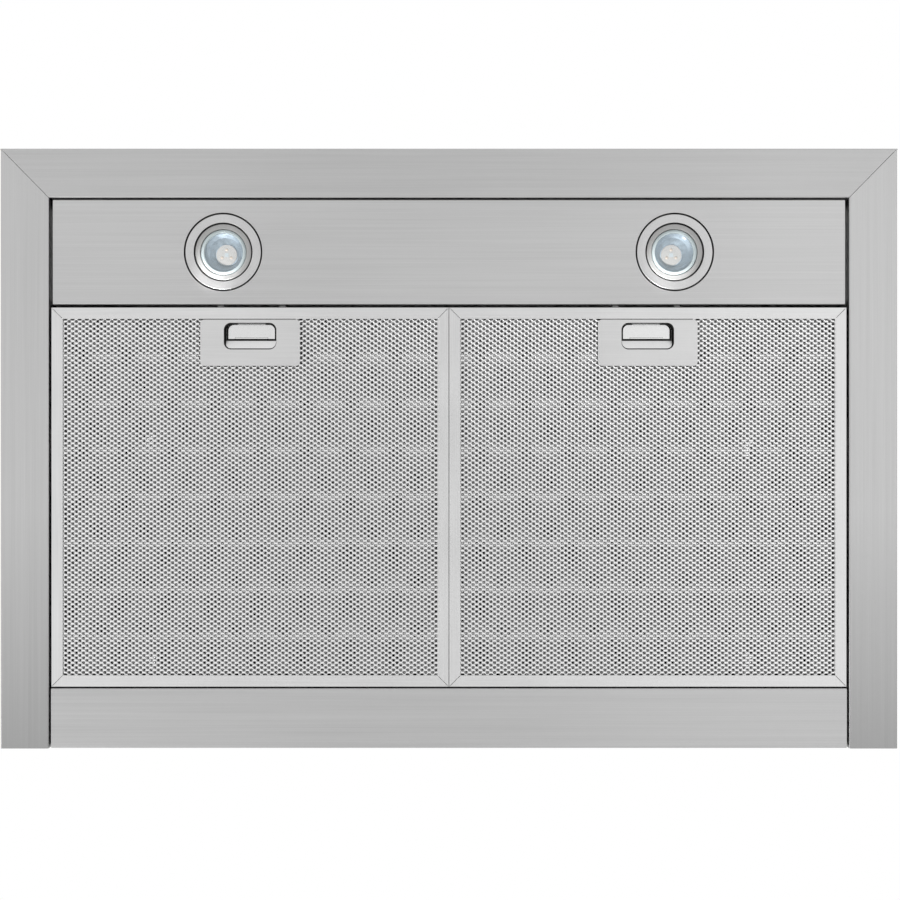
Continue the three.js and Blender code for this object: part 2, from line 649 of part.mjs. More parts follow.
function filterFrame() {
  const { strip, height, wall, slit } = FRAME;
  const inside = FILTER_HALF - wall;
  const cuts = [
    box(-inside, inside, NEAR + wall, -wall, wall, height - wall),
    box(-FILTER_HALF + strip, FILTER_HALF - strip, NEAR + strip, -strip, -1, height + 1),
  ];
  for (const side of [-1, 1]) {
    for (const end of [0, 1]) {
      const outer = [side * (FILTER_HALF - wall), end ? -wall : NEAR + wall];
      const inner = [side * (FILTER_HALF - strip - 1), end ? -strip - 1 : NEAR + strip + 1];
      const along = slit / 2;
      const across = side * (end ? along : -along);
      cuts.push(prism("z", [
        [outer[0] - across, outer[1] + along], [outer[0] + across, outer[1] - along],
        [inner[0] + across, inner[1] - along], [inner[0] - across, inner[1] + along],
      ], -1, wall + 0.1));
    }
    const x = side * LATCH.offset;
    const half = LATCH.width / 2 + 0.4;
    cuts.push(box(x - half, x + half, NEAR - 1, NEAR + 2, LATCH.low - GAP, LATCH.high + GAP));
  }
  const tabs = [-1, 1].map((side) => {
    const x = side * TAB.offset;
    return box(x - TAB.width / 2, x + TAB.width / 2, -wall, TAB.reach, TAB.lift, TAB.lift + TAB.thick);
  });
  return union(minus(box(-FILTER_HALF, FILTER_HALF, NEAR, 0, 0, height), ...cuts), ...tabs);
}

const LAYER = { x: FILTER_HALF - FRAME.wall - 0.4, edge: FRAME.wall + 0.4 };

// The inner layers are cut away round the pocket and the latch.
function latchWindow() {
  const half = LATCH.offset + LATCH.width / 2 + 2;
  return box(-half, half, NEAR - 1, NEAR + POCKET.rear + FRAME.wall + 0.6, 0, FRAME.height);
}

function filterMesh() {
  return minus(box(-LAYER.x, LAYER.x, NEAR + LAYER.edge, -LAYER.edge, 1.1, 1.7), latchWindow());
}

// The folded inner layer, with its folds along X.
function filterCore() {
  const [front, rear] = [NEAR + LAYER.edge, -LAYER.edge];
  const count = 2 * CORE.folds;
  const ridge = Array.from({ length: count + 1 }, (_, i) => [front + ((rear - front) * i) / count, i % 2]);
  const height = CORE.high - CORE.low - CORE.sheet;
  const low = ridge.map(([y, up]) => [y, CORE.low + up * height]);
  const high = ridge.map(([y, up]) => [y, CORE.low + up * height + CORE.sheet]);
  return minus(prism("x", [...low, ...high.reverse()], -LAYER.x, LAYER.x), latchWindow());
}

function pocketOutline(margin) {
  const half = POCKET.width / 2 + margin;
  const [front, rear] = [NEAR + POCKET.front - margin, NEAR + POCKET.rear + margin];
  return roundedRectangle(-half, half, front, rear, POCKET.radius + margin);
}

// A plate with a pocket, and a sloping strip that leads a fingertip to the latch's tab.
function handlePlate() {
  const wall = FRAME.wall;
  const half = HANDLE.width / 2;
  const outline = roundedRectangle(-half, half, NEAR + HANDLE.front, NEAR + HANDLE.rear, HANDLE.radius);
  const plate = prism("z", outline, 0, wall);
  const cup = prism("z", pocketOutline(wall), 0, POCKET.depth + wall, 8);
  const arm = LATCH.arm + GAP;
  const front = NEAR + POCKET.front;
  const slot = box(-arm, arm, front - 2, front + 2, LATCH.low - GAP, LATCH.high + GAP);
  const rear = NEAR + POCKET.rear - RAMP.inset;
  const ramp = prism("x", [
    [NEAR + RAMP.front, RAMP.high], [rear, RAMP.low], [rear, POCKET.depth + wall / 2],
    [rear - RAMP.thick, POCKET.depth + wall / 2], [rear - RAMP.thick, RAMP.low + 2 * RAMP.thick],
    [NEAR + RAMP.front, RAMP.high + RAMP.thick],
  ], -half, half);
  const hollow = minus(union(plate, cup), prism("z", pocketOutline(0), -1, POCKET.depth, 8), slot);
  return union(hollow, ramp.intersect(prism("z", pocketOutline(-RAMP.inset), 0, POCKET.depth + wall, 8)));
}

// Finger tab, arm, yoke and two tongues, as one sliding plate. Only the tab's front corners are round.
function latch() {
  const { low, high, offset, width, reach, yoke, arm } = LATCH;
  const { half, front_gap, radius } = FINGER_TAB;
  const [front, rear] = [NEAR + POCKET.front + front_gap, NEAR + FINGER_TAB.rear];
  const tab = new THREE.Shape();
  tab.moveTo(half, rear);
  tab.lineTo(-half, rear);
  tab.absarc(-half + radius, front + radius, radius, Math.PI, 1.5 * Math.PI);
  tab.absarc(half - radius, front + radius, radius, 1.5 * Math.PI, 2 * Math.PI);
  const span = offset + width / 2;
  const tongues = [-1, 1].map((side) => {
    const x = side * offset;
    return box(x - width / 2, x + width / 2, NEAR - reach, NEAR + yoke[0] + 1, low, high);
  });
  return union(
    prism("z", tab, low, high, 6),
    box(-TAB_RIDGE.half, TAB_RIDGE.half, rear - TAB_RIDGE.length, rear, TAB_RIDGE.low, high),
    box(-arm, arm, NEAR + yoke[1] - 1, front + 1, low, high),
    box(-span, span, NEAR + yoke[0], NEAR + yoke[1], low, high),
    ...tongues,
  );
}

class Helix extends THREE.Curve {
  getPoint(t, target = new THREE.Vector3()) {
    const angle = 2 * Math.PI * SPRING.turns * t;
    const from = NEAR + LATCH.yoke[1] + GAP + SPRING.wire;
    const to = NEAR + POCKET.front - FRAME.wall - GAP - SPRING.wire;
    return target.set(
      SPRING.x + SPRING.radius * Math.cos(angle),
      THREE.MathUtils.lerp(from, to, t),
      SPRING.z + SPRING.radius * Math.sin(angle),
    );
  }
}

function latchSpring() {
  const section = new THREE.Shape();
  section.absarc(0, 0, SPRING.wire, 0, 2 * Math.PI);
  const steps = SPRING.turns * 8;
  const options = { extrudePath: new Helix(), steps, bevelEnabled: false, curveSegments: 2 };
  return solid(new THREE.ExtrudeGeometry(section, options));
}

function greaseFilter(side, x) {
  return group(x, HINGE.y, HINGE.z,
    part(`${side}_filter_frame`, filterFrame(), ALUMINIUM),
    part(`${side}_filter_mesh`, filterMesh(), MESH),
    part(`${side}_filter_core`, filterCore(), MESH),
    part(`${side}_handle_plate`, handlePlate(), ALUMINIUM),
    part(`${side}_latch`, latch(), ALUMINIUM),
    part(`${side}_latch_spring`, latchSpring(), ZINC),
  );
}

// ---- Fasteners ----

// Head above z = 0 and shank below it.
function screw(length) {
  const { shank, head, head_height } = SCREW;
  return turned("z", [
    [0, -length], [shank - 0.6, -length], [shank, -length + 1], [shank, GAP], [head, GAP],
    [head, GAP + 0.8], [head - 1.2, GAP + head_height], [0, GAP + head_height],
  ], 6);
}

// Driven in from below.
function upsideDown(name, x, y, z, length) {
  const placed = group(x, y, z, part(name, screw(length), ZINC));
  placed.rotation.x = Math.PI;
  return placed;
}

function screws() {
  const made = [];
  for (const [side, x] of [["left", -1], ["right", 1]]) {
    for (const [end, y] of [["front", -1], ["rear", 1]]) {
      const name = `collar_screw_${end}_${side}`;
      const at = COLLAR.y + y * COLLAR_SCREW.y;
      made.push(upsideDown(name, x * COLLAR_SCREW.x, at, UNDER_TOP - SHEET, 2 * SHEET));
    }
    made.push(upsideDown(`box_screw_${side}`, BOX.x + x * BOX_SCREW_X, BOX.y, BOX_BOTTOM - GAP - SHEET, 6));
  }
  for (const [end, y] of [["front", -1], ["rear", 1]]) {
    const at = BLOWER.y + y * BRACKET_SCREW_Y;
    made.push(upsideDown(`bracket_screw_${end}`, 0, at, UNDER_DECK - SHEET, 2 * SHEET));
  }
  return made;
}

// ---- Assembly ----

function damper() {
  const rear = part("rear_damper_flap", damperWing(), GALVANISED);
  const front = part("front_damper_flap", damperWing(), GALVANISED);
  front.rotation.z = Math.PI;
  return group(0, COLLAR.y, DAMPER.z, rear, front, part("damper_rod", damperRod(), ZINC));
}

function blower() {
  return group(0, BLOWER.y, BLOWER.z,
    part("right_blower_housing", blowerHousing(), GALVANISED),
    mirrored("left_blower_housing", blowerHousing(), GALVANISED),
    part("right_impeller", impeller(), GALVANISED),
    mirrored("left_impeller", impeller(), GALVANISED),
    part("motor_body", motorBody(), MOTOR_PAINT),
    part("motor_shaft", motorShaft(), ZINC),
    part("motor_bracket", motorBracket(), GALVANISED),
  );
}

function controls() {
  const placed = group(0, FRONT, SWITCH.z,
    part("switch_bezel", switchBezel(), DARK_PLASTIC),
    part("switch_body", switchBody(), DARK_PLASTIC),
  );
  BUTTONS.forEach((name, i) => placed.add(group(BUTTON_X[i], 0, 0, part(name, button(), LAMP_PLASTIC))));
  return placed;
}

const hood = new THREE.Group();
hood.add(
  part("front_panel", frontPanel(), STEEL),
  part("right_side_panel", sidePanel(), STEEL),
  mirrored("left_side_panel", sidePanel(), STEEL),
  part("top_panel", topPanel(), STEEL),
  part("back_panel", backPanel(), GALVANISED),
  part("light_panel", lightPanel(), STEEL),
  part("rear_trim_panel", rearTrimPanel(), STEEL),
  group(0, COLLAR.y, 0, part("duct_collar", ductCollar(), GALVANISED)),
  damper(),
  blower(),
  group(BOX.x - 70, BOX.y, 0, part("capacitor", capacitor(), ALUMINIUM)),
  group(BOX.x, BOX.y, 0,
    part("junction_box", junctionBox(), GALVANISED),
    part("junction_box_cover", junctionBoxCover(), GALVANISED),
  ),
  group(BOX.x, 0, CONDUIT.z, part("conduit_bushing", conduitBushing(), DARK_PLASTIC)),
  controls(),
  lamp("left", -LAMP.x),
  lamp("right", LAMP.x),
  greaseFilter("left", -FILTER_X),
  greaseFilter("right", FILTER_X),
  ...screws(),
);

export default hood;
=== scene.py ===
# Under-cabinet range hood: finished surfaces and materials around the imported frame.
# Metres, +Z up, -Y is the hood's front. The camera looks straight up at the underside.
import json
import math

import bmesh
import bpy
from mathutils import Matrix, Vector

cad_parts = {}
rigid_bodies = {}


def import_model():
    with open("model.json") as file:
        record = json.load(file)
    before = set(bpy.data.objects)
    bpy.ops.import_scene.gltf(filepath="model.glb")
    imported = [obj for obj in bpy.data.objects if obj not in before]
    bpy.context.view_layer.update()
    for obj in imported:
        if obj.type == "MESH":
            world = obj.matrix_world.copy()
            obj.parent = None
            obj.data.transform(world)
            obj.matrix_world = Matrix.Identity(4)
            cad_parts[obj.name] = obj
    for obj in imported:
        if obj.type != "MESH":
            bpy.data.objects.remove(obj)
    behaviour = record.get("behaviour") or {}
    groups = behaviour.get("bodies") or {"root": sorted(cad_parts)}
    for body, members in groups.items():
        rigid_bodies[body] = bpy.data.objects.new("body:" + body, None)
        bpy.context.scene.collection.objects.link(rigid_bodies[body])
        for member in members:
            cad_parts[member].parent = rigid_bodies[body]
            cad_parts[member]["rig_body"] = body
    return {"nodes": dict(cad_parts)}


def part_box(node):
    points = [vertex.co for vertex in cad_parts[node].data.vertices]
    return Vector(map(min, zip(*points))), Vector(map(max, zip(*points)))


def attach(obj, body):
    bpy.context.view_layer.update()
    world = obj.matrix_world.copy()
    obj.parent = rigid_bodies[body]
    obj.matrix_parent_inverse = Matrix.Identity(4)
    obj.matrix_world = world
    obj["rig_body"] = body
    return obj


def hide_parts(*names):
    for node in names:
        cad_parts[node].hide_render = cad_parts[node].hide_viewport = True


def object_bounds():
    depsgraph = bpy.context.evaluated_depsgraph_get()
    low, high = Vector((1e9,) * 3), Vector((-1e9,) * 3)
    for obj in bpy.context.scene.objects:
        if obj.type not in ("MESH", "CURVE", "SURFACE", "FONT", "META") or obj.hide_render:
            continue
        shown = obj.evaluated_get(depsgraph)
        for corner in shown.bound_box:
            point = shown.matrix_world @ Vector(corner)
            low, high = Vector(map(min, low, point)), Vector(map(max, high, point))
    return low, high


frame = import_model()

CAD_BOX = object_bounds()
MM = 0.001
NODES = frame["nodes"]
SIDES = ("left", "right")

MERGE = 0.03 * MM  # CAD corners closer than this are one
TOUCH = 0.001 * MM  # corners of a turned piece closer than this are one
FLAT = math.radians(0.5)  # facets that meet flatter than this are one face
CREASE = math.radians(32)  # edges sharper than this are rounded
EDGE = 0.25 * MM  # how far in that rounding starts
SMOOTH = math.radians(50)  # faces that meet flatter than this are shaded as one surface


# ---- Materials ----


NOISE_LOW, NOISE_HIGH = 0.3, 0.7  # nearly all of a noise's values lie between these
GRAIN_RELIEF = 0.012 * MM  # height of the grain on brushed and rolled metal


def grey(shade):
    return (shade, shade, shade)


class Material:
    """A procedural material on the Principled shader."""

    def __init__(self, name, color, roughness, metallic=0.0, **constants):
        self.made = bpy.data.materials.new(name)
        self.made.use_nodes = True
        self.tree = self.made.node_tree
        self.shader = self.tree.nodes["Principled BSDF"]
        self.color = color
        self.roughness = roughness
        self.feed(self.shader.inputs["Base Color"], (*color, 1))
        self.feed(self.shader.inputs["Roughness"], roughness)
        self.feed(self.shader.inputs["Metallic"], metallic)
        for socket, value in constants.items():
            self.feed(self.shader.inputs[socket], value)

    def feed(self, socket, value):
        """Links another node's output to a socket, or sets the socket to a constant."""
        if isinstance(value, bpy.types.NodeSocket):
            self.tree.links.new(value, socket)
        else:
            socket.default_value = value

    def add(self, kind, inputs, output=0, **settings):
        """Makes a node and gives one of its outputs."""
        node = self.tree.nodes.new("ShaderNode" + kind)
        for key, value in settings.items():
            setattr(node, key, value)
        for key, value in inputs.items():
            self.feed(node.inputs[key], value)
        return node.outputs[output]

    def position(self):
        """The place on the piece, in metres."""
        return self.tree.nodes.new("ShaderNodeTexCoord").outputs["Object"]

    def place_along(self, axis):
        """The place's X, Y or Z."""
        return self.add("SeparateXYZ", {0: self.position()}, output=axis)

    def math(self, operation, a, b=0.0):
        return self.add("Math", {0: a, 1: b}, operation=operation)

    def noise(self, per_metre, detail):
        """Noise from 0 to 1; its cells per metre are one number, or a list of one for each axis."""
        cells = per_metre if isinstance(per_metre, list) else [per_metre] * 3
        scaled = self.add("VectorMath", {0: self.position(), 1: cells}, operation="MULTIPLY")
        return self.add("TexNoise", {"Vector": scaled, "Scale": 1.0, "Detail": detail})

    def total(self, *shares):
        """The sum of values times their weights."""
        value = 0.0
        for share, weight in shares:
            value = self.add("Math", {0: share, 1: weight, 2: value}, operation="MULTIPLY_ADD")
        return value

    def spread(self, value, low, high, start=NOISE_LOW, end=NOISE_HIGH):
        """A value from start to end becomes one from low to high."""
        limits = {"From Min": start, "From Max": end, "To Min": low, "To Max": high}
        return self.add("MapRange", {"Value": value, **limits})

    def ramp(self, value, *stops):
        """A colour that changes with a value; each stop is (value, colour)."""
        node = self.tree.nodes.new("ShaderNodeValToRGB")
        elements = node.color_ramp.elements
        for i, (at, color) in enumerate(stops):
            element = elements[i] if i < len(elements) else elements.new(at)
            element.position = at
            element.color = (*color, 1)
        self.feed(node.inputs["Fac"], value)
        return node.outputs["Color"]

    def vary(self, value, color_change, roughness_change):
        """Colour and roughness change by these shares of themselves as a noise value changes."""
        dark = [channel * (1 - color_change) for channel in self.color]
        light = [min(1, channel * (1 + color_change)) for channel in self.color]
        color = self.ramp(value, (NOISE_LOW, dark), (NOISE_HIGH, light))
        self.feed(self.shader.inputs["Base Color"], color)
        low = self.roughness * (1 - roughness_change)
        high = self.roughness * (1 + roughness_change)
        self.feed(self.shader.inputs["Roughness"], self.spread(value, low, high))

    def fade(self, axis, start, end, share):
        """Painted shade: the colour falls by a share of itself between two places along an axis."""
        factor = self.spread(self.place_along(axis), 1.0, 1 - share, start, end)
        base = self.shader.inputs["Base Color"]
        color = base.links[0].from_socket
        self.feed(base, self.add("VectorMath", {0: color, "Scale": factor}, operation="SCALE"))

    def paint_shade_inwards(self, face, depth, share):
        """Painted shade: darker above a face that looks down."""
        self.fade("Z", face, face + depth, share)

    def bump(self, height, distance):
        """Fine relief, this many metres high."""
        normal = self.add("Bump", {"Height": height, "Distance": distance, "Strength": 1.0})
        self.feed(self.shader.inputs["Normal"], normal)


def stretched(along, lengthways, across):
    """Cells per metre for a noise that is drawn out along an axis."""
    return [lengthways if axis == along else across for axis in "xyz"]


def brushed_steel(along, shade, shaded_end=None, name=None):
    """Steel with its grain along an axis; painted shade can darken it towards a place along Y."""
    fade_start, fade_share = -50 * MM, 0.33
    material = Material(f"brushed_steel_{name or along}", grey(shade), 0.36, 1.0)
    grain = material.noise(stretched(along, 7, 1500), 3)
    lines = material.noise(stretched(along, 3, 330), 2)
    clouds = material.noise(stretched(along, 4, 7), 2)
    material.vary(material.total((grain, 0.4), (lines, 0.3), (clouds, 0.3)), 0.1, 0.2)
    # painted shade: darker towards the wall end
    if shaded_end:
        material.fade("Y", fade_start, shaded_end, fade_share)
    material.bump(grain, GRAIN_RELIEF)
    return material.made


def galvanised_sheet():
    """Zinc crystals of slightly different greys."""
    material = Material("galvanised_sheet", (0.52, 0.54, 0.55), 0.42, 1.0)
    cells = material.add("TexVoronoi", {"Vector": material.position(), "Scale": 110.0}, output="Color")
    flecks = material.noise(900, 3)
    material.vary(material.total((cells, 0.45), (flecks, 0.55)), 0.09, 0.25)
    material.bump(flecks, 0.02 * MM)
    return material.made


def drawn_aluminium(name, shade, along=None, roughness=0.33):
    """Rolled aluminium, with its grain along an axis or, without one, fine all over."""
    material = Material(name, grey(shade), roughness, 1.0)
    grain = material.noise(stretched(along, 12, 1300) if along else 1100, 3)
    clouds = material.noise(18, 2)
    material.vary(material.total((grain, 0.55), (clouds, 0.45)), 0.06, 0.2)
    material.bump(grain, GRAIN_RELIEF)
    return material.made


def filter_strips(side):
    """Aluminium strips with mitred corners: the grain runs along each strip, and painted shade darkens
    them above their lower face.
    """
    low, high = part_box(f"{side}_filter_frame")
    centre, half = (low + high) / 2, (high - low) / 2
    material = Material(f"{side}_filter_strips", grey(0.73), 0.34, 1.0)
    to_edge = []
    for index, axis in enumerate("XY"):
        off_centre = material.math("SUBTRACT", material.place_along(axis), centre[index])
        to_edge.append(material.math("SUBTRACT", half[index], material.math("ABSOLUTE", off_centre)))
    on_side = material.math("LESS_THAN", *to_edge)
    grain_x = material.noise(stretched("x", 12, 1100), 3)
    grain_y = material.noise(stretched("y", 12, 1100), 3)
    grain = material.add("Mix", {"Factor": on_side, "A": grain_x, "B": grain_y}, data_type="FLOAT")
    clouds = material.noise(14, 2)
    material.vary(material.total((grain, 0.6), (clouds, 0.4)), 0.07, 0.2)
    # painted shade on the frame's walls above its lower face
    material.paint_shade_inwards(low.z + 1 * MM, 4 * MM, 0.8)
    material.bump(grain, GRAIN_RELIEF)
    return material.made


def expanded_metal(name, node, bright, dark, depth):
    """Bright on the outer face, with painted shade where the strands turn inwards."""
    material = Material(name, grey(bright), 0.3, 1.0)
    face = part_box(node)[0].z
    # painted shade: the colour darkens the deeper in the strands lie
    inwards = material.spread(material.place_along("Z"), 0.0, 1.0, face, face + depth)
    flecks = material.noise(700, 2)
    shade = material.total((inwards, 0.85), (flecks, 0.15))
    color = material.ramp(shade, (0.1, grey(bright)), (0.75, grey(dark)))
    material.feed(material.shader.inputs["Base Color"], color)
    material.feed(material.shader.inputs["Roughness"], material.spread(shade, 0.25, 0.5, 0.0, 1.0))
    return material.made


def lamp_trim():
    """Satin metal, with painted shade deep in the gaps beside the ring."""
    material = Material("lamp_trim", grey(0.63), 0.36, 1.0)
    flecks = material.noise(1500, 4)
    clouds = material.noise(60, 2)
    material.vary(material.total((flecks, 0.7), (clouds, 0.3)), 0.1, 0.25)
    # painted shade deep in the gaps beside the ring
    material.paint_shade_inwards(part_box("left_lamp_trim_ring")[0].z + 1.6 * MM, 3 * MM, 0.95)
    material.bump(flecks, 0.02 * MM)
    return material.made


def lamp_bezel():
    """Satin silver paint, with painted shade deep in the gap beside it."""
    material = Material("lamp_bezel", (0.4, 0.4, 0.395), 0.6, 0.5)
    clouds = material.noise(90, 3)
    material.vary(clouds, 0.08, 0.2)
    # painted shade deep in the gap beside the bezel
    material.paint_shade_inwards(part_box("left_lamp_body")[0].z + 0.9 * MM, 2.5 * MM, 0.95)
    material.bump(material.noise(2500, 2), 0.008 * MM)
    return material.made


def lamp_reflector():
    """Bluish metallised plastic."""
    material = Material("lamp_reflector", (0.22, 0.265, 0.305), 0.55, 0.75)
    ripple = material.noise(260, 2)
    material.vary(ripple, 0.1, 0.3)
    material.bump(ripple, 0.05 * MM)
    return material.made


def clear_glass():
    """Nearly clear by its alpha, so that the bowl shows through with little noise."""
    material = Material("lamp_glass", (0.5, 0.57, 0.6), 0.05, 0.0, Alpha=0.05, IOR=1.47)
    haze = material.noise(120, 2)
    material.vary(haze, 0.04, 0.4)
    return material.made


def frosted_rim():
    """The lens's pale, nearly opaque edge."""
    material = Material("lamp_glass_rim", (0.39, 0.445, 0.455), 0.22, 0.0, Alpha=0.85, IOR=1.47)
    haze = material.noise(160, 3)
    material.vary(haze, 0.05, 0.3)
    return material.made


def plain(name, color, roughness, metallic=0.0, grain=900, change=0.06, relief=0.02):
    """Moulded, painted or plated surface: fine grain, with slow changes of colour and gloss."""
    material = Material(name, color, roughness, metallic)
    flecks = material.noise(grain, 3)
    clouds = material.noise(30, 2)
    material.vary(material.total((flecks, 0.5), (clouds, 0.5)), change, 0.2)
    material.bump(flecks, relief * MM)
    return material.made


WALL_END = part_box("back_panel")[1].y
STEEL_X = brushed_steel("x", 0.54)
LIGHT_STEEL = brushed_steel("x", 0.58, name="light_panel")
# painted shade: the side panels darken towards the wall
SHADED_STEEL_Y = brushed_steel("y", 0.56, WALL_END)
GALVANISED = galvanised_sheet()
PLATE = drawn_aluminium("handle_aluminium", 0.68, "x")
# painted light: a lighter copy of the plate's aluminium for the sloping ramp
LIT_RAMP = drawn_aluminium("ramp_painted_light", 0.9)
# painted shade: a near-black copy of the plate's aluminium for the pocket's inside
SHADED_POCKET_WALL = drawn_aluminium("pocket_wall_painted_shade", 0.06, roughness=0.5)
LATCH = drawn_aluminium("latch_aluminium", 0.8, roughness=0.2)
# painted shade: darker copies of the latch's aluminium for its shaded tongues and upper part
SHADED_LATCH_TIP = drawn_aluminium("latch_tip_painted_shade", 0.22)
SHADED_LATCH_NECK = drawn_aluminium("latch_neck_painted_shade", 0.03, roughness=0.5)
INNER_MESH = drawn_aluminium("inner_mesh", 0.62, roughness=0.5)
CAN = drawn_aluminium("capacitor_can", 0.7, "z")
TRIM = lamp_trim()
BEZEL = lamp_bezel()
REFLECTOR = lamp_reflector()
GLASS = clear_glass()
GLASS_RIM = frosted_rim()
HEAT_SINK = plain("lamp_heat_sink", (0.74, 0.76, 0.77), 0.42)
LED_BOARD = plain("led_board", (0.157, 0.149, 0.14), 0.5, change=0.08)
LED_CHIP = plain("led_chip", (0.195, 0.158, 0.125), 0.35)
LED_CENTRE = plain("led_centre", (0.165, 0.186, 0.194), 0.35)
CERAMIC = plain("ceramic", (0.83, 0.8, 0.74), 0.5, grain=500)
ZINC = plain("zinc_plating", (0.6, 0.62, 0.63), 0.3, 1.0, grain=600, change=0.12)
BLACK = plain("black_plastic", (0.02, 0.02, 0.022), 0.45, grain=1800, change=0.2, relief=0.03)
BUTTON = plain("button_plastic", (0.56, 0.57, 0.58), 0.32, grain=1500)
PAINT = plain("motor_paint", (0.045, 0.048, 0.052), 0.38, 0.3, grain=420, change=0.2, relief=0.06)


# ---- Mesh work ----


def add_piece(name, mesh, materials, node):
    """A piece that stands for a CAD node, and moves with that node's body."""
    for material in materials:
        mesh.materials.append(material)
    mesh.shade_smooth()
    mesh.set_sharp_from_angle(angle=SMOOTH)
    piece = bpy.data.objects.new(name, mesh)
    bpy.context.scene.collection.objects.link(piece)
    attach(piece, NODES[node]["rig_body"])
    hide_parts(node)
    return piece


def piece_from(bm, name, materials, node):
    """A finished bmesh becomes a piece."""
    bmesh.ops.recalc_face_normals(bm, faces=bm.faces)
    mesh = bpy.data.meshes.new(name)
    bm.to_mesh(mesh)
    bm.free()
    return add_piece(name, mesh, materials, node)


def refined(node, material):
    """The CAD node's own shape, with its facets joined and its edges rounded."""
    bm = bmesh.new()
    bm.from_mesh(NODES[node].data)
    bmesh.ops.remove_doubles(bm, verts=bm.verts, dist=MERGE)
    bmesh.ops.dissolve_limit(bm, angle_limit=FLAT, verts=bm.verts, edges=bm.edges)
    sharp = [e for e in bm.edges if len(e.link_faces) == 2 and e.calc_face_angle(0) > CREASE]
    rounding = {"segments": 2, "profile": 0.5, "affect": "EDGES", "clamp_overlap": True}
    bmesh.ops.bevel(bm, geom=sharp, offset=EDGE, **rounding)
    piece = piece_from(bm, f"{node}_surface", [material], node)
    piece.modifiers.new("flat_faces", "WEIGHTED_NORMAL").keep_sharp = True
    return piece


TO_AXIS = {"x": Matrix.Rotation(math.pi / 2, 4, "Y"), "z": Matrix.Identity(4)}


def rounded(points, radius, steps=4):
    """Each inner corner of a path of (a, b) points becomes an arc, where there is room for it."""
    nearly_straight = math.radians(85)
    points = [Vector(point) for point in points]
    path = [points[0]]
    for before, corner, after in zip(points, points[1:], points[2:]):
        back, on = (before - corner), (after - corner)
        half = back.angle(on) / 2
        if half > nearly_straight:
            path.append(corner)
            continue
        reach = min(radius / math.tan(half), back.length / 2.2, on.length / 2.2)
        start, end = corner + back.normalized() * reach, corner + on.normalized() * reach
        for step in range(steps + 1):
            t = step / steps
            path.append(start * (1 - t) ** 2 + corner * 2 * t * (1 - t) + end * t ** 2)
    path.append(points[-1])
    return path


def lathe(bm, profile, centre, axis="z", segments=96, material=0):
    """Turns a profile of (radius, height) points, in metres, about an axis through centre."""
    on_axis = 1e-7
    place = Matrix.Translation(centre) @ TO_AXIS[axis]
    rings = []
    for radius, height in profile:
        if radius < on_axis:
            rings.append([bm.verts.new(place @ Vector((0, 0, height)))])
            continue
        turn = [2 * math.pi * i / segments for i in range(segments)]
        spots = [Vector((radius * math.cos(t), radius * math.sin(t), height)) for t in turn]
        rings.append([bm.verts.new(place @ spot) for spot in spots])
    for low, high in zip(rings, rings[1:]):
        for i in range(segments):
            j = (i + 1) % segments
            corners = [low[i % len(low)], low[j % len(low)], high[j % len(high)], high[i % len(high)]]
            face = bm.faces.new(list(dict.fromkeys(corners)))
            face.material_index = material


def in_mm(points):
    """A profile given in millimetres, in metres."""
    return [(a * MM, b * MM) for a, b in points]


def middle(node):
    """The middle of a CAD node's box."""
    low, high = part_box(node)
    return (low + high) / 2


# ---- Lamps ----

# Sizes of round pieces are radii and heights in millimetres, and a profile is (radius, height).

RING = {"outer": 32.0, "opening": 24.9, "wall": 1.2}
CLIP = {"reach": 38.0, "foot": 1.5, "width": 9.0}
BODY = {"radius": 23.7, "shoulder": 7.0, "neck": 15.0, "top": 46.0}
BOWL = {"mouth": 17.9, "step": 4.1, "floor": 14.1}
LENS = {"face": 16.4, "edge": 19.3, "back": 2.7}
BOARD = {"radius": 8.9, "emitters": 4.6, "square": 3.2, "thick": 0.5}


def lamp_centre(side):
    """The lamp is round its LED module."""
    return middle(f"{side}_led_module")


def on_lamp_axis(side, z):
    centre = lamp_centre(side)
    return Vector((centre.x, centre.y, z))


def lamp_trim_ring(side):
    """A flush cup with a wide rim, and three clips that reach down to the panel."""
    node = f"{side}_lamp_trim_ring"
    low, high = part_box(node)
    centre = on_lamp_axis(side, low.z)
    height = (high.z - low.z) / MM
    outer, opening, wall = RING["outer"], RING["opening"], RING["wall"]
    profile = [
        (opening, 0.7), (opening, 0.0), (outer, 0.0), (outer, height),
        (outer - wall, height), (outer - wall, wall), (opening, wall), (opening, 0.7),
    ]
    bm = bmesh.new()
    lathe(bm, rounded(in_mm(profile), 0.5 * MM), centre, segments=160)
    bmesh.ops.remove_doubles(bm, verts=bm.verts, dist=TOUCH)
    reach, foot = CLIP["reach"], CLIP["foot"]
    for i in range(3):
        turn = Matrix.Translation(centre) @ Matrix.Rotation(math.radians(90 + 120 * i), 4, "Z")
        clip_part(bm, turn, (outer - wall / 2, reach), (height - wall, height))
        clip_part(bm, turn, (reach - wall, reach), (foot, height - wall / 2))
    return piece_from(bm, f"{side}_lamp_trim", [TRIM], node)


def clip_part(bm, turn, out, up):
    """A flat piece of a clip, between two radii and two heights in mm."""
    part = bmesh.ops.create_cube(bm, size=1.0)["verts"]
    size = Matrix.Diagonal(((out[1] - out[0]) * MM, CLIP["width"] * MM, (up[1] - up[0]) * MM, 1))
    shift = Matrix.Translation(((out[0] + out[1]) / 2 * MM, 0, (up[0] + up[1]) / 2 * MM))
    bmesh.ops.transform(bm, matrix=turn @ shift @ size, verts=part)


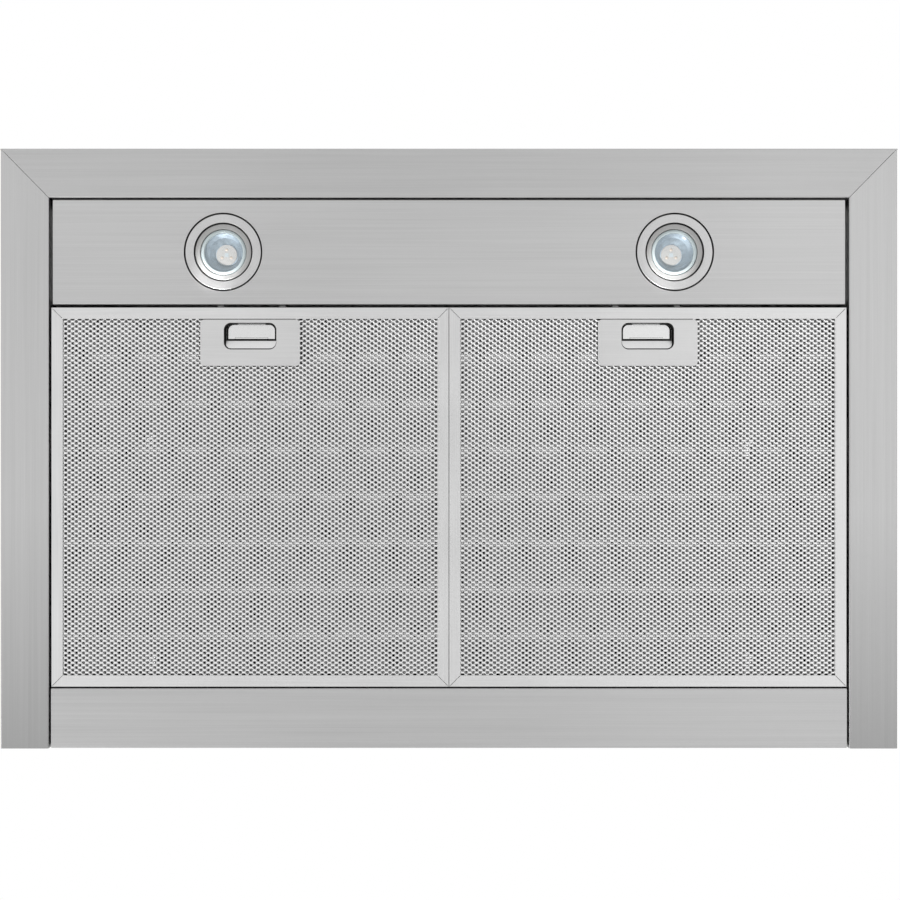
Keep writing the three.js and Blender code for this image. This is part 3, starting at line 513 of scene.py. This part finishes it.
def lamp_body(side):
    """Bezel, reflector bowl and finned heat sink, tapering to the neck."""
    node = f"{side}_lamp_body"
    lip = 0.5  # the profile's height at the bezel's lowest edge
    centre = on_lamp_axis(side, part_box(node)[0].z - lip * MM)
    mouth, step, floor = BOWL["mouth"], BOWL["step"], BOWL["floor"]
    radius, shoulder, neck, top = BODY["radius"], BODY["shoulder"], BODY["neck"], BODY["top"]
    bowl = [(9.5, floor), (10.4, 12.4), (13.4, 7.6), (mouth, step)]
    bezel = [
        (mouth, step), (19.6, step), (19.6, 1.3), (20.1, 0.8), (23.2, lip), (radius, 0.8),
        (radius, shoulder),
    ]
    shell = [(radius, shoulder), (17.0, 34.0), (neck, 36.0), (neck, top), (0.0, top)]
    fins = 24
    bm = bmesh.new()
    lathe(bm, [(0.0, floor * MM), *rounded(in_mm(bowl), 3 * MM, 6)], centre, segments=128, material=1)
    lathe(bm, rounded(in_mm(bezel), 0.2 * MM), centre, segments=128, material=0)
    lathe(bm, rounded(in_mm(shell), 1.2 * MM), centre, segments=128, material=2)
    for i in range(fins):
        heat_fin(bm, centre, 2 * math.pi * i / fins)
    bmesh.ops.remove_doubles(bm, verts=bm.verts, dist=TOUCH)
    return piece_from(bm, f"{side}_lamp_shell", [BEZEL, REFLECTOR, HEAT_SINK], node)


def heat_fin(bm, centre, turn):
    """A thin rib down the lamp's taper."""
    outline = in_mm([(21.0, 9.0), (22.4, 9.6), (17.6, 32.2), (15.6, 33.4)])
    half_thick = 0.4 * MM
    place = Matrix.Translation(centre) @ Matrix.Rotation(turn, 4, "Z")
    sides = []
    for across in (-half_thick, half_thick):
        sides.append([bm.verts.new(place @ Vector((r, across, h))) for r, h in outline])
    left, right = sides
    bm.faces.new(left).material_index = 2
    bm.faces.new(reversed(right)).material_index = 2
    for i in range(len(outline)):
        j = (i + 1) % len(outline)
        bm.faces.new((left[i], right[i], right[j], left[j])).material_index = 2


def lamp_lens(side):
    """A clear, slightly domed lens with a frosted rim."""
    node = f"{side}_lamp_lens"
    centre = on_lamp_axis(side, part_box(node)[0].z)
    inner, edge, back = LENS["face"], LENS["edge"], LENS["back"]
    face = [(0, 0.45), (6, 0.5), (12, 0.65), (inner, 0.85)]
    rim = [
        (inner, 0.85), (16.8, 0.35), (17.8, 0.1), (18.9, 0.5), (edge, 1.2), (edge, back),
        (inner, back),
    ]
    bm = bmesh.new()
    lathe(bm, in_mm(face), centre, segments=128, material=0)
    lathe(bm, rounded(in_mm(rim), 0.5 * MM), centre, segments=128, material=1)
    lathe(bm, in_mm([(inner, back), (0, back)]), centre, segments=128, material=0)
    bmesh.ops.remove_doubles(bm, verts=bm.verts, dist=TOUCH)
    return piece_from(bm, f"{side}_lamp_glass", [GLASS, GLASS_RIM], node)


def led_module(side):
    """A round board with three small emitters round a square one."""
    node = f"{side}_led_module"
    low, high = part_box(node)
    centre = middle(node)
    room = 0.5 * MM  # for the emitters, which stand out from the board
    board = Vector((centre.x, centre.y, low.z + room))
    depth = high.z - board.z
    radius, out, width, thick = (BOARD[key] * MM for key in ("radius", "emitters", "square", "thick"))
    dome = in_mm([(0, -0.45), (0.8, -0.4), (1.3, -0.15), (1.4, 0.05)])
    bm = bmesh.new()
    lathe(bm, rounded([(0, 0), (radius, 0), (radius, depth), (0, depth)], 0.15 * MM), board)
    for i in range(3):
        turn = math.radians(-90 + 120 * i)
        spot = board + Vector((out * math.cos(turn), out * math.sin(turn), 0))
        lathe(bm, dome, spot, segments=32, material=1)
    square = bmesh.ops.create_cube(bm, size=1.0)
    size = Matrix.Diagonal((width, width, thick, 1))
    bmesh.ops.transform(bm, matrix=Matrix.Translation(board) @ size, verts=square["verts"])
    for face in {face for vert in square["verts"] for face in vert.link_faces}:
        face.material_index = 2
    return piece_from(bm, f"{side}_led_board", [LED_BOARD, LED_CHIP, LED_CENTRE], node)


def lamp_socket(side):
    """A ceramic cup with a groove round it, narrower at the wires' end."""
    node = f"{side}_lamp_socket"
    low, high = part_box(node)
    centre = on_lamp_axis(side, low.z)
    height = (high.z - low.z) / MM
    radius, groove = 14, 13.3
    profile = [
        (0, 0), (radius, 0), (radius, 3.4), (groove, 3.9), (groove, 4.8), (radius, 5.3),
        (radius, height - 4), (11.5, height - 0.6), (9.5, height), (0, height),
    ]
    bm = bmesh.new()
    lathe(bm, rounded(in_mm(profile), 0.6 * MM), centre, segments=72)
    return piece_from(bm, f"{side}_lamp_socket_body", [CERAMIC], node)


# ---- Grease filters ----


STRAND = {"x": 3.025, "y": 2.07}  # half the mesh's pitch along X and Y, in mm
KNUCKLE = {"tip": 1.75, "x": 1.05, "y": 0.52}  # half sizes of the flat where strands meet
HOLE = {"x": 1.05, "half_x": 0.5, "y": 0.95, "depth": 0.95}  # half sizes, and how far in it is
INNER_STRAND = {"x": 3.6, "y": 2.3}  # half the inner sheet's pitch
INNER_OPENING = 0.5  # share of the inner sheet's pitch that is open


def expanded_sheet(low, high, window):
    """Expanded metal: flat knuckles on every second lattice point, and holes on the others."""
    dx, dy = STRAND["x"] * MM, STRAND["y"] * MM
    tip, kx, ky = (KNUCKLE[key] * MM for key in ("tip", "x", "y"))
    hole_x, hole_half, hole_y, depth = (HOLE[key] * MM for key in ("x", "half_x", "y", "depth"))
    knuckle = [(tip, 0), (kx, ky), (-kx, ky), (-tip, 0), (-kx, -ky), (kx, -ky)]
    hole = [(hole_x, 0), (hole_half, hole_y), (-hole_half, hole_y)]
    hole += [(-x, -y) for x, y in hole]
    columns, rows = int((high.x - low.x) / dx), int((high.y - low.y) / dy)
    points, faces, knuckles = [], [], {}

    def corners(outline, i, j, z):
        first = len(points)
        points.extend((low.x + i * dx + ox, low.y + j * dy + oy, z) for ox, oy in outline)
        return list(range(first, first + len(outline)))

    def kept(i, j):
        left, right, rear = window
        return not (left < low.x + i * dx < right and low.y + j * dy < rear)

    lattice = [(i, j) for j in range(rows + 1) for i in range(columns + 1) if kept(i, j)]
    for i, j in lattice:
        if (i + j) % 2:
            knuckles[i, j] = corners(knuckle, i, j, low.z)
            faces.append(knuckles[i, j])
    for i, j in lattice:
        beside = [(i + 1, j), (i, j + 1), (i - 1, j), (i, j - 1)]
        if (i + j) % 2 or not all(spot in knuckles for spot in beside):
            continue
        right, top, left, bottom = (knuckles[spot] for spot in beside)
        inner = corners(hole, i, j, low.z + depth)
        outer = [
            right[3], right[2], top[5], top[4], left[1],
            left[0], left[5], bottom[2], bottom[1], right[4],
        ]
        met = [0, 0, 1, 2, 3, 3, 3, 4, 5, 0]  # the hole's corner that each outer corner joins
        for a in range(len(outer)):
            b = (a + 1) % len(outer)
            quad = [outer[a], outer[b], inner[met[b]], inner[met[a]]]
            faces.append(list(dict.fromkeys(quad)))
    return points, faces


def filter_mesh(side):
    """The outer expanded sheet, left out behind the handle plate."""
    node = f"{side}_filter_mesh"
    low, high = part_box(node)
    plate_low, plate_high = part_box(f"{side}_handle_plate")
    under_frame, under_plate = 4 * MM, 3 * MM
    inset = Vector((under_frame, under_frame, 0))
    window = (plate_low.x + under_plate, plate_high.x - under_plate, plate_high.y - under_plate)
    points, faces = expanded_sheet(low + inset, high - inset, window)
    mesh = bpy.data.meshes.new(node)
    mesh.from_pydata(points, [], faces)
    material = expanded_metal(f"{side}_expanded_metal", node, 0.97, 0.5, HOLE["depth"] * MM)
    return add_piece(f"{side}_expanded_mesh", mesh, [material], node)


def filter_core(side):
    """The folded inner layer, as a coarser expanded sheet that follows the folds."""
    node = f"{side}_filter_core"
    low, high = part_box(node)
    plate_low, plate_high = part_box(f"{side}_handle_plate")
    folds, skin = 8, 0.3 * MM
    dx, dy = INNER_STRAND["x"] * MM, INNER_STRAND["y"] * MM
    half_fold = (high.y - low.y) / (2 * folds)
    columns, rows = int((high.x - low.x) / dx), int((high.y - low.y) / dy)
    points, faces, spots = [], [], {}

    def height(y):
        phase = (y - low.y) / half_fold
        return low.z + skin + (high.z - low.z - 2 * skin) * abs((phase + 1) % 2 - 1)

    def spot(x, y):
        key = (round(x / MM, 2), round(y / MM, 2))
        if key not in spots:
            spots[key] = len(points)
            points.append((x, y, height(y)))
        return spots[key]

    for j in range(1, rows):
        for i in range(1, columns):
            x, y = low.x + i * dx, low.y + j * dy
            covered = plate_low.x < x < plate_high.x and y < plate_high.y
            if (i + j) % 2 or covered:
                continue
            around = [(dx, 0), (0, dy), (-dx, 0), (0, -dy)]
            outer = [spot(x + ox, y + oy) for ox, oy in around]
            inner = [spot(x + ox * INNER_OPENING, y + oy * INNER_OPENING) for ox, oy in around]
            for a in range(len(around)):
                b = (a + 1) % len(around)
                faces.append((outer[a], outer[b], inner[b], inner[a]))
    mesh = bpy.data.meshes.new(node)
    mesh.from_pydata(points, [], faces)
    return add_piece(f"{side}_inner_mesh", mesh, [INNER_MESH], node)


def recolored(piece, materials, pick, cuts=()):
    """Extra materials on some faces; each cut splits the faces that cross a place along Y."""
    mesh = piece.data
    for material in materials:
        mesh.materials.append(material)
    bm = bmesh.new()
    bm.from_mesh(mesh)
    for y in cuts:
        geometry = [*bm.verts, *bm.edges, *bm.faces]
        bmesh.ops.bisect_plane(bm, geom=geometry, plane_co=(0, y, 0), plane_no=(0, 1, 0))
    for face in bm.faces:
        face.material_index = pick(face.calc_center_median(), face.normal)
    bm.to_mesh(mesh)
    bm.free()


def latch(side):
    """The sliding tab, with painted shade on its tongues and its upper part."""
    node = f"{side}_latch"
    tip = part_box("light_panel")[1].y + 1.3 * MM
    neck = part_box(f"{side}_filter_frame")[0].y + 8 * MM
    tab_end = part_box(f"{side}_handle_plate")[0].y + 25 * MM
    tab_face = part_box(node)[0].z + 1 * MM

    # painted shade: grey on the tongue tips, near black on the necks and the tab's upper part
    def pick(place, _normal):
        if place.y < tip:
            return 1
        return 2 if place.y < neck or (place.y > tab_end and place.z > tab_face) else 0

    recolored(refined(node, LATCH), [SHADED_LATCH_TIP, SHADED_LATCH_NECK], pick, (tip, neck, tab_end))


def handle_plate(side):
    """Plate, pocket and ramp, with painted shade inside the pocket and painted light on the ramp."""
    node = f"{side}_handle_plate"
    plate_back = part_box(node)[0].z + 0.7 * MM
    steep, flat = 0.5, 0.995  # the ramp's normal has a Z between these

    # painted shade on the pocket's walls and roof, painted light on its sloping ramp
    def pick(place, normal):
        if place.z < plate_back:
            return 0
        return 2 if steep < abs(normal.z) < flat else 1

    recolored(refined(node, PLATE), [SHADED_POCKET_WALL, LIT_RAMP], pick)


def latch_spring(side):
    """Compression spring between the latch's yoke and the pocket."""
    node = f"{side}_latch_spring"
    low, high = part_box(node)
    centre = (low + high) / 2
    wire = 0.25 * MM
    radius = (high.x - low.x) / 2 - wire
    turns, steps, sides = 4, 32, 10
    length = high.y - low.y - 2 * wire
    along = Vector((0, 1, 0))
    bm = bmesh.new()
    rings = []
    for i in range(turns * steps + 1):
        t = i / (turns * steps)
        turn = 2 * math.pi * turns * t
        outwards = Vector((math.cos(turn), 0, math.sin(turn)))
        spot = Vector((centre.x, low.y + wire + t * length, centre.z)) + outwards * radius
        angles = [2 * math.pi * k / sides for k in range(sides)]
        rings.append([
            bm.verts.new(spot + (outwards * math.cos(a) + along * math.sin(a)) * wire) for a in angles
        ])
    for ring, following in zip(rings, rings[1:]):
        for k in range(sides):
            n = (k + 1) % sides
            bm.faces.new((ring[k], ring[n], following[n], following[k]))
    bm.faces.new(rings[0])
    bm.faces.new(rings[-1])
    return piece_from(bm, f"{side}_spring_coil", [ZINC], node)


# ---- Fasteners, shafts and small turned pieces ----


def screw(node):
    """Driven in from below: hex washer head, and a shank with thread ridges."""
    low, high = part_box(node)
    length = (high.z - low.z) / MM
    centre = middle(node)
    tip = Vector((centre.x, centre.y, high.z))
    root, crest, pitch, washer = 1.2, 1.6, 0.7, 3.3
    under_washer, under_hexagon = length - 1.6, length - 1.1
    shank = [(0, 0), (0.9, 0)]
    ridge = 0.9
    while ridge < under_washer - 1:
        shank += [(root, ridge), (crest, ridge + pitch / 2)]
        ridge += pitch
    head = [(crest, under_washer), (washer, under_washer), (washer, under_hexagon), (0, under_hexagon)]
    bm = bmesh.new()
    lathe(bm, [(r, -h) for r, h in in_mm(shank + head)], tip, segments=36)
    hexagon = [(0, 1.2), (2.4, 1.2), (2.4, 0.3), (2.1, 0), (0, 0)]
    lathe(bm, in_mm(hexagon), Vector((centre.x, centre.y, low.z)), segments=6)
    return piece_from(bm, f"{node}_body", [ZINC], node)


def turned_rod(node):
    """A round bar along X with rounded ends."""
    low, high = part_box(node)
    radius = (high.z - low.z) / 2
    half = (high.x - low.x) / 2
    profile = [(0, -half), (radius, -half), (radius, half), (0, half)]
    bm = bmesh.new()
    lathe(bm, rounded(profile, 0.5 * MM), middle(node), "x", 48)
    return piece_from(bm, f"{node}_bar", [ZINC], node)


def capacitor():
    """An upright can with a narrower neck near its top."""
    node = "capacitor"
    low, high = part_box(node)
    centre = middle(node)
    base = Vector((centre.x, centre.y, low.z))
    height = (high.z - low.z) / MM
    radius, neck = 17, 16.2
    profile = [
        (0, 0), (12, 0), (12.5, 0.8), (14, 0.8), (radius, 1), (radius, height - 4),
        (neck, height - 3.4), (neck, height - 2.4), (radius, height - 1.8), (16.4, height), (0, height),
    ]
    bm = bmesh.new()
    lathe(bm, rounded(in_mm(profile), 0.8 * MM), base, segments=96)
    return piece_from(bm, "capacitor_can_body", [CAN], node)


# ---- Blower ----


def impeller(side):
    """Squirrel cage with forward-curved blades between the hub disc and the inlet ring."""
    node = f"{side}_impeller"
    low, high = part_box(node)
    centre = middle(node)
    radius = (high.z - low.z) / 2
    width = high.x - low.x
    way = -1 if side == "left" else 1
    inner_end = Vector((centre.x - way * width / 2, centre.y, centre.z))
    outer, bore, boss = 46.9, 4.3, 10
    hub = [
        (bore, 0), (outer, 0), (outer, 1.2), (12, 1.2), (boss, 3.5), (boss, 14), (bore, 14), (bore, 0),
    ]
    ring = [(38, 71), (outer, 71), (outer, 73), (38, 73), (38, 71)]

    def outwards(points):
        return [(r * MM, h * MM * way) for r, h in points]

    bm = bmesh.new()
    lathe(bm, rounded(outwards(hub), 0.6 * MM), inner_end, "x", 96)
    lathe(bm, outwards(ring), inner_end, "x", 96)
    blades, steps, thick = 40, 6, 0.3 * MM
    blade_middle, blade_reach, bulge = radius - 4.5 * MM, 3.5 * MM, 0.07
    ends = (0.6 * MM * way, (width - 1 * MM) * way)
    for i in range(blades):
        turn = 2 * math.pi * i / blades
        curve = []
        for step in range(steps + 1):
            a = math.pi * step / steps
            curve.append((blade_middle + blade_reach * math.cos(a), turn + bulge * math.sin(a)))
        blade(bm, inner_end, curve, ends, thick / radius)
    bmesh.ops.remove_doubles(bm, verts=bm.verts, dist=TOUCH)
    return piece_from(bm, f"{side}_fan_wheel", [GALVANISED], node)


def blade(bm, origin, curve, ends, thick):
    """One curved strip along X; the curve's points are (radius, angle)."""
    edges = []
    for shift in (-thick, thick):
        for x in ends:
            line = [(r * math.cos(t + shift), r * math.sin(t + shift)) for r, t in curve]
            edges.append([bm.verts.new(origin + Vector((x, y, z))) for y, z in line])
    near, far, back_near, back_far = edges
    last = len(curve) - 1
    for i in range(last):
        bm.faces.new((near[i], near[i + 1], far[i + 1], far[i]))
        bm.faces.new((back_near[i], back_far[i], back_far[i + 1], back_near[i + 1]))
        bm.faces.new((near[i], back_near[i], back_near[i + 1], near[i + 1]))
        bm.faces.new((far[i], far[i + 1], back_far[i + 1], back_far[i]))
    for i in (0, last):
        bm.faces.new((near[i], far[i], back_far[i], back_near[i]))


def motor_body():
    """Two end bells on a ribbed shell, held by four through bolts."""
    node = "motor_body"
    low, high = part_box(node)
    centre = middle(node)
    radius = (high.z - low.z) / 2 / MM
    bell = (high.x - low.x) / 2 / MM
    half = [(14, bell), (16, bell - 3), (radius - 5, 30), (radius, 27), (radius, 16), (radius - 0.8, 15.4)]
    mirror = [(r, -h) for r, h in reversed(half)]
    bore, bolt_circle, nut_radius, nut_face, nut_back = 4.3, 25 * MM, 2.6, 34.2, 31
    profile = [(bore, bell), *half, *mirror, (bore, -bell), (bore, bell)]
    bm = bmesh.new()
    lathe(bm, rounded(in_mm(profile), 1 * MM), centre, "x", 96)
    for i in range(4):
        turn = math.pi / 4 + i * math.pi / 2
        spot = centre + Vector((0, bolt_circle * math.cos(turn), bolt_circle * math.sin(turn)))
        for end in (-1, 1):
            nut = [(0, nut_face * end), (nut_radius, nut_face * end), (nut_radius, nut_back * end)]
            lathe(bm, in_mm(nut), spot, "x", 6)
    return piece_from(bm, "motor_shell", [PAINT], node)


# ---- Assembly ----


REFINED = {
    STEEL_X: ("front_panel", "rear_trim_panel", "top_panel"),
    LIGHT_STEEL: ("light_panel",),
    SHADED_STEEL_Y: ("left_side_panel", "right_side_panel"),
    GALVANISED: (
        "back_panel", "duct_collar", "front_damper_flap", "rear_damper_flap", "left_blower_housing",
        "right_blower_housing", "motor_bracket", "junction_box", "junction_box_cover",
    ),
    BLACK: ("switch_bezel", "switch_body", "conduit_bushing"),
    BUTTON: ("light_button", "off_button", "low_button", "medium_button", "high_button"),
}

for material, nodes in REFINED.items():
    for node in nodes:
        refined(node, material)
for side in SIDES:
    refined(f"{side}_filter_frame", filter_strips(side))
    filter_mesh(side)
    filter_core(side)
    handle_plate(side)
    latch(side)
    latch_spring(side)
    lamp_trim_ring(side)
    lamp_body(side)
    lamp_lens(side)
    led_module(side)
    lamp_socket(side)
    impeller(side)
    for end in ("front", "rear"):
        screw(f"collar_screw_{end}_{side}")
    screw(f"box_screw_{side}")
for end in ("front", "rear"):
    screw(f"bracket_screw_{end}")
turned_rod("damper_rod")
turned_rod("motor_shaft")
capacitor()
motor_body()


# ---- Studio ----


HOOD_BOTTOM = CAD_BOX[0].z
FLOOR = HOOD_BOTTOM - 1.35
DISTANCE = 0.78  # from the camera to the hood's underside
FRAME_WIDTH = 0.761421  # what the picture spans at that distance


def floor():
    """A wide pale floor, well below the hood and the camera."""
    bpy.ops.mesh.primitive_plane_add(size=14, location=(0, 0, FLOOR))
    plane = bpy.context.object
    plane.name = "studio_floor"
    material = Material("studio_floor", grey(0.8), 0.8)
    material.vary(material.noise(3, 3), 0.02, 0.05)
    plane.data.materials.append(material.made)


def world():
    """Even white light from all round."""
    made = bpy.data.worlds.new("studio")
    made.use_nodes = True
    background = made.node_tree.nodes["Background"]
    background.inputs["Color"].default_value = (*grey(1), 1)
    background.inputs["Strength"].default_value = 1.0
    bpy.context.scene.world = made


def studio_light(name, kind, place, aim, power, **settings):
    """A light that points from its place to its aim, and isn't seen itself."""
    data = bpy.data.lights.new(name, kind)
    data.energy = power
    for key, value in settings.items():
        setattr(data, key, value)
    light = bpy.data.objects.new(name, data)
    light.location = place
    light.rotation_euler = (Vector(aim) - Vector(place)).to_track_quat("-Z", "Y").to_euler()
    light.visible_camera = False
    bpy.context.scene.collection.objects.link(light)


def softbox(name, place, aim, size, power, spread=180):
    """A rectangular light, whose beam can be narrowed by its spread in degrees."""
    sides = {"shape": "RECTANGLE", "size": size[0], "size_y": size[1], "spread": math.radians(spread)}
    studio_light(name, "AREA", place, aim, power, **sides)


def floor_wash(side, power):
    """Lights one half of the floor, which the steel mirrors."""
    x = 0.95 if side == "right" else -0.95
    y, height = -0.1, 0.4
    softbox(f"floor_wash_{side}", (x, y, FLOOR + height), (x, y, FLOOR), (0.9, 2.2), power)


def lamp_spot(side):
    """A narrow beam with a soft edge, which puts the bright patch in a lamp's bowl."""
    beam = {"spot_size": math.radians(2.8), "spot_blend": 0.4, "shadow_soft_size": 8 * MM}
    aim = lamp_centre(side)
    place = aim + Vector((-0.18, 0.42, -0.6))
    studio_light(f"{side}_lamp_spot", "SPOT", place, aim, 80, **beam)


def camera():
    """Looks straight up from below, with the hood's front at the top of the picture."""
    data = bpy.data.cameras.new("camera")
    data.sensor_width = 36
    data.lens = data.sensor_width * DISTANCE / FRAME_WIDTH
    viewer = bpy.data.objects.new("camera", data)
    depth_middle = (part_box("front_panel")[0].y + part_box("back_panel")[1].y) / 2
    off_centre = (0.9 * MM, 1.4 * MM)
    viewer.location = (off_centre[0], depth_middle + off_centre[1], HOOD_BOTTOM - DISTANCE)
    viewer.rotation_euler = (math.pi, 0, 0)
    bpy.context.scene.collection.objects.link(viewer)
    bpy.context.scene.camera = viewer


floor()
world()
floor_wash("left", 1.5)
floor_wash("right", 3.0)
softbox("key", (-2.4, 1.6, -1.3), (0, -0.1, HOOD_BOTTOM), (2.0, 2.0), 12, spread=90)
for side in SIDES:
    lamp_spot(side)
camera()
bpy.context.scene.view_settings.view_transform = "Standard"
